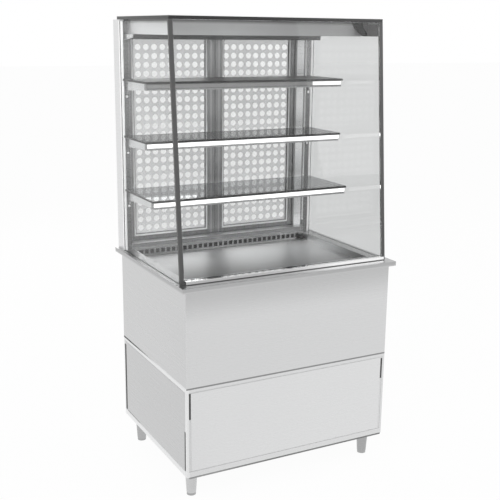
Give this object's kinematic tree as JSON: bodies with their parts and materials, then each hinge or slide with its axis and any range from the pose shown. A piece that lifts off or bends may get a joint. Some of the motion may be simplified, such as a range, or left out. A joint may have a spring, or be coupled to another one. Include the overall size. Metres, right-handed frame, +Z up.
{
  "type": "refrigerated display case",
  "caption": "Stainless counter display case on conical legs: a glass box with a leaning front pane, lit glass shelves over a chilled pan, and hinged rear doors.",
  "frame": {"origin": "on the floor under the middle of the whole outline, levelling feet screwed in, doors closed", "axes": "+X to the right of someone facing the front pane, +Y towards the hinged rear doors, +Z up"},
  "size_m": [0.94, 0.767, 1.813],
  "materials": {
    "stainless_satin": "satin",
    "stainless_leg": "satin",
    "stainless_foot": "satin",
    "galvanised_steel": "satin",
    "foam": "matte",
    "stainless_pan": "satin",
    "stainless_dark": "satin",
    "stainless_polished": "polished",
    "clear_glass": "gloss",
    "black_seal": "matte",
    "canopy_steel": "satin",
    "lamp_dark": "satin",
    "bracket_steel": "satin",
    "screw_steel": "polished",
    "tinted_glass": "gloss",
    "light_housing": "satin",
    "light_diffuser": "matte",
    "bar_steel": "satin",
    "hinge_steel": "satin",
    "door_aluminium": "satin",
    "door_glass": "satin",
    "handle_plastic": "satin",
    "compressor_black": "satin",
    "coil_aluminium": "satin",
    "shroud_steel": "satin",
    "fan_plastic": "satin",
    "copper": "polished",
    "knob_plastic": "satin",
    "switch_plastic": "gloss",
    "gland_plastic": "matte"
  },
  "bodies": {
    "cabinet": {"legs": "stainless_leg", "lower_frame": "stainless_satin", "floor_plate": "galvanised_steel", "lower_panel_front": "stainless_satin", "lower_panel_left": "stainless_satin", "lower_panel_right": "stainless_satin", "rear_vent_panel": "stainless_satin", "upper_panel_front": "stainless_satin", "upper_panel_left": "stainless_satin", "upper_panel_right": "stainless_satin", "upper_panel_rear": "stainless_satin", "tub_insulation": "foam", "tub_liner": "stainless_pan", "display_pan": "stainless_pan", "rear_air_grille": "stainless_dark", "worktop": "stainless_satin", "front_rail": "stainless_polished", "rear_post_left": "stainless_satin", "rear_post_right": "stainless_satin", "side_glass_left": "clear_glass", "side_glass_right": "clear_glass", "front_glass": "clear_glass", "roof_glass": "clear_glass", "glass_seals": "black_seal", "canopy_shell": "canopy_steel", "canopy_lamp": "lamp_dark", "shelf_brackets": "bracket_steel", "panhead_screws": "screw_steel", "shelf_upper": "tinted_glass", "shelf_middle": "tinted_glass", "shelf_lower": "tinted_glass", "light_housings": "light_housing", "light_diffuser_upper": "light_diffuser", "light_diffuser_middle": "light_diffuser", "light_diffuser_lower": "light_diffuser", "rear_frame_bars": "bar_steel", "door_hinges": "hinge_steel", "compressor": "compressor_black", "condenser_coil": "coil_aluminium", "condenser_fan_shroud": "shroud_steel", "refrigerant_lines": "copper", "evaporator_coil": "coil_aluminium", "evaporator_fan_shroud": "shroud_steel", "control_plate": "stainless_satin", "cable_gland": "gland_plastic"},
    "door_left": {"door_left_frame": "door_aluminium", "door_left_glass": "door_glass", "door_left_handle": "handle_plastic"},
    "door_right": {"door_right_frame": "door_aluminium", "door_right_glass": "door_glass", "door_right_handle": "handle_plastic"},
    "condenser_fan": {"condenser_fan": "fan_plastic"},
    "evaporator_fan": {"evaporator_fan": "fan_plastic"},
    "thermostat_knob": {"thermostat_knob": "knob_plastic"},
    "power_switch": {"power_switch": "switch_plastic"},
    "light_switch": {"light_switch": "switch_plastic"},
    "foot_front_left": {"foot_front_left": "stainless_foot"},
    "foot_front_right": {"foot_front_right": "stainless_foot"},
    "foot_rear_left": {"foot_rear_left": "stainless_foot"},
    "foot_rear_right": {"foot_rear_right": "stainless_foot"}
  },
  "joints": [
    {"name": "door_left_hinge", "type": "hinge", "parent": "cabinet", "child": "door_left", "pos_m": [-0.403, 0.3445, 0.868], "axis": [0, 0, 1], "range_deg": [0, 105]},
    {"name": "door_right_hinge", "type": "hinge", "parent": "cabinet", "child": "door_right", "pos_m": [0.403, 0.3445, 0.868], "axis": [0, 0, -1], "range_deg": [0, 105]},
    {"name": "condenser_fan_spin", "type": "hinge", "parent": "cabinet", "child": "condenser_fan", "pos_m": [0.19, 0.118, 0.245], "axis": [0, 1, 0], "continuous": true},
    {"name": "evaporator_fan_spin", "type": "hinge", "parent": "cabinet", "child": "evaporator_fan", "pos_m": [0, -0.038, 0.7135], "axis": [0, 1, 0], "continuous": true},
    {"name": "thermostat_turn", "type": "hinge", "parent": "cabinet", "child": "thermostat_knob", "pos_m": [0.135, 0.3165, 0.5235], "axis": [0, 1, 0], "range_deg": [0, 270]},
    {"name": "power_switch_rock", "type": "hinge", "parent": "cabinet", "child": "power_switch", "pos_m": [0.195, 0.308, 0.5235], "axis": [-1, 0, 0], "range_deg": [0, 20]},
    {"name": "light_switch_rock", "type": "hinge", "parent": "cabinet", "child": "light_switch", "pos_m": [0.225, 0.308, 0.5235], "axis": [-1, 0, 0], "range_deg": [0, 20]},
    {"name": "foot_front_left_screw_out", "type": "slide", "parent": "cabinet", "child": "foot_front_left", "axis": [0, 0, -1], "range_m": [0, 0.03]},
    {"name": "foot_front_right_screw_out", "type": "slide", "parent": "cabinet", "child": "foot_front_right", "axis": [0, 0, -1], "range_m": [0, 0.03]},
    {"name": "foot_rear_left_screw_out", "type": "slide", "parent": "cabinet", "child": "foot_rear_left", "axis": [0, 0, -1], "range_m": [0, 0.03]},
    {"name": "foot_rear_right_screw_out", "type": "slide", "parent": "cabinet", "child": "foot_rear_right", "axis": [0, 0, -1], "range_m": [0, 0.03]}
  ]
}
